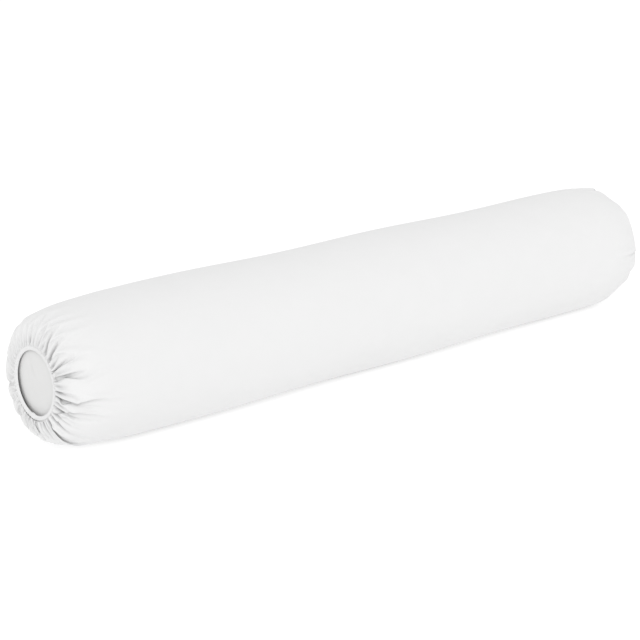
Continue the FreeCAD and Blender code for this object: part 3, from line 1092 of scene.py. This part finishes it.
def textile(name, colour, height, bump, roughness, sheen, mottle=0.03, crumple=0.0, painted_shade=0.0):
    """A textile: its colour a little uneven, with painted shade in its folds if asked, and its surface from
    a height function, in mm of relief.
    """
    material = bpy.data.materials.new(name)
    material.use_nodes = True
    tree = material.node_tree
    shader = tree.nodes["Principled BSDF"]
    shader.inputs["Roughness"].default_value = roughness
    shader.inputs["Specular IOR Level"].default_value = 0.25
    shader.inputs["Sheen Weight"].default_value = sheen
    shader.inputs["Sheen Roughness"].default_value = 0.6
    blend = tree.nodes.new("ShaderNodeMix")
    blend.data_type = "RGBA"
    tree.links.new(noise(tree, 30, 4.0), blend.inputs["Factor"])
    blend.inputs["A"].default_value = (*(c * (1 - mottle) for c in colour), 1)
    blend.inputs["B"].default_value = (*(min(1, c * (1 + mottle)) for c in colour), 1)
    # painted shade: an occlusion term darkens the colour in the cloth's folds
    shade = painted_fold_shade(tree, blend.outputs["Result"], painted_shade) if painted_shade else blend.outputs["Result"]
    tree.links.new(shade, shader.inputs["Base Color"])
    fine = tree.nodes.new("ShaderNodeBump")
    fine.inputs["Distance"].default_value = bump * MM
    fine.inputs["Strength"].default_value = 0.6
    tree.links.new(height(tree), fine.inputs["Height"])
    if crumple:
        soft = tree.nodes.new("ShaderNodeBump")
        soft.inputs["Distance"].default_value = crumple * MM
        soft.inputs["Strength"].default_value = 0.6
        tree.links.new(noise(tree, 45, 3.0), soft.inputs["Height"])
        tree.links.new(soft.outputs[0], fine.inputs["Normal"])
    tree.links.new(fine.outputs[0], shader.inputs["Normal"])
    return material


# --- light and camera --------------------------------------------------------------------------------

LENS = 95.3
CAMERA_AZIMUTH = math.radians(-40.4)
CAMERA_ELEVATION = math.radians(17.4)
CAMERA_DISTANCE = 2.49
CAMERA_TARGET = Vector((-0.0675, 0, AXIS_Z - 12.5 * MM))
FLOOR_GLOW = 0.68
SKY = 0.88
KEY = 0.75
KEY_AZIMUTH = math.radians(-35)
KEY_ELEVATION = math.radians(40)


def away(azimuth, elevation):
    """The direction from the bolster towards an azimuth and elevation; azimuth 0 is -Y."""
    level = math.cos(elevation)
    return Vector((math.sin(azimuth) * level, -math.cos(azimuth) * level, math.sin(elevation)))


def add_camera():
    """The camera, at the height and side that the bolster is seen from."""
    data = bpy.data.cameras.new("camera")
    data.lens = LENS
    camera = bpy.data.objects.new("camera", data)
    bpy.context.scene.collection.objects.link(camera)
    back = away(CAMERA_AZIMUTH, CAMERA_ELEVATION)
    camera.location = CAMERA_TARGET + back * CAMERA_DISTANCE
    camera.rotation_euler = back.to_track_quat("Z", "Y").to_euler()
    bpy.context.scene.camera = camera


def add_floor():
    """A wide pale table, lit a little from below."""
    material = bpy.data.materials.new("light_table")
    material.use_nodes = True
    shader = material.node_tree.nodes["Principled BSDF"]
    shader.inputs["Base Color"].default_value = (0.4, 0.4, 0.4, 1)
    shader.inputs["Roughness"].default_value = 0.9
    shader.inputs["Specular IOR Level"].default_value = 0.0
    shader.inputs["Emission Color"].default_value = (1, 1, 1, 1)
    shader.inputs["Emission Strength"].default_value = FLOOR_GLOW
    wide = 12.0
    corners = [(-wide, -wide, 0), (wide, -wide, 0), (wide, wide, 0), (-wide, wide, 0)]
    floor = mesh_object("studio_floor", corners, [(0, 1, 2, 3)], material, smooth=False)


def add_key():
    """A wide soft light from one side, as even at the far end as at the near one."""
    data = bpy.data.lights.new("key", "SUN")
    data.angle = math.radians(30)
    data.energy = KEY
    lamp = bpy.data.objects.new("key", data)
    bpy.context.scene.collection.objects.link(lamp)
    back = away(KEY_AZIMUTH, KEY_ELEVATION)
    lamp.location = back * CAMERA_DISTANCE
    lamp.rotation_euler = back.to_track_quat("Z", "Y").to_euler()


def add_sky():
    """Even white light from all round."""
    world = bpy.data.worlds.new("studio")
    world.use_nodes = True
    world.node_tree.nodes["Background"].inputs["Color"].default_value = (1, 1, 1, 1)
    world.node_tree.nodes["Background"].inputs["Strength"].default_value = SKY
    bpy.context.scene.world = world


# --- the scene ---------------------------------------------------------------------------------------


def on_cover(piece, slot, *nodes):
    """A piece that moves with the cover, with a mesh of its own."""
    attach(piece, "cover")
    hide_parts(*nodes)
    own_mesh(piece)


def on_insert(piece, slot, *nodes):
    """A piece of the insert."""
    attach(piece, "insert")
    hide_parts(*nodes)


# the jersey's last number is the share of painted shade in its folds
knit = textile("jersey_knit", (0.79, 0.79, 0.79), knit_height, 0.10, 0.95, 0.15, 0.012, 0.25, 0.62)
ticking = textile("ticking_weave", (0.74, 0.74, 0.735), weave_height, 0.08, 0.9, 0.1, 0.012, 0.3)
thread = textile("sewing_thread", (0.84, 0.84, 0.835), twist_height, 0.08, 0.6, 0.1)
rubber = textile("elastic_braid", (0.78, 0.78, 0.77), twist_height, 0.12, 0.75, 0.05)
wadding_fibre = textile("polyester_wadding", (0.86, 0.86, 0.86), fibre_height, 1.2, 1.0, 0.4, 0.03, 1.5)
core_fibre = textile("polyester_fibre", (0.84, 0.84, 0.84), fibre_height, 1.6, 1.0, 0.4, 0.04, 2.5)

cover, stitch_rows = make_cover(knit)
gathered_ends = ("front_gathered_end", "rear_gathered_end")
on_cover(cover, "cover_knit", "cover_sleeve", *gathered_ends, "front_hem", "rear_hem")
hem_pieces = []
for side, end in ((-1, "front"), (1, "rear")):
    stitches = hem_stitches(end + "_hem_stitches", stitch_rows[side], side, thread)
    on_cover(stitches, "sewing_thread", end + "_hem_stitching")
    lap_start, lap_end = UNDERSIDE - LAP_HALF, UNDERSIDE + LAP_HALF
    band = band_round(end + "_elastic_band", side, lap_end, lap_start + TAU, ELASTIC_THICK, rubber)
    on_cover(band, "elastic_cord", end + "_elastic")
    lap = band_round(end + "_elastic_lap", side, lap_start, lap_end, LAP_THICK, rubber)
    on_cover(lap, "elastic_cord", end + "_elastic_joint")
    hem_pieces += [stitches, band, lap]
seam, seam_stitching = cover_seam(knit, thread)
on_cover(seam, "cover_knit", "cover_long_seam")
on_cover(seam_stitching, "sewing_thread", "cover_seam_thread")

(casing_side, front_panel, rear_panel), seam_at, seam_r = make_casing(ticking)
on_insert(casing_side, "casing_ticking", "casing_tube")
on_insert(front_panel, "casing_ticking", "front_end_disc")
on_insert(rear_panel, "casing_ticking", "rear_end_disc")
for side, end in ((-1, "front"), (1, "rear")):
    fin, stitched = end_seam(side, end, seam_r, ticking, thread)
    on_insert(fin, "casing_ticking", end + "_end_seam")
    on_insert(stitched, "sewing_thread", end + "_end_seam_thread")
long_fin, long_stitching = casing_long_seam(ticking, thread)
on_insert(long_fin, "casing_ticking", "casing_long_seam")
on_insert(long_stitching, "sewing_thread", "casing_seam_thread")
on_insert(closing_stitches(thread), "sewing_thread", "closing_stitches")
wadding, fibre = filling(wadding_fibre, core_fibre)
on_insert(wadding, "polyester_wadding", "wadding_wrap")
on_insert(fibre, "polyester_fibre", "fibre_core")

add_floor()
add_sky()
add_key()
bpy.context.scene.view_settings.view_transform = "Standard"
add_camera()
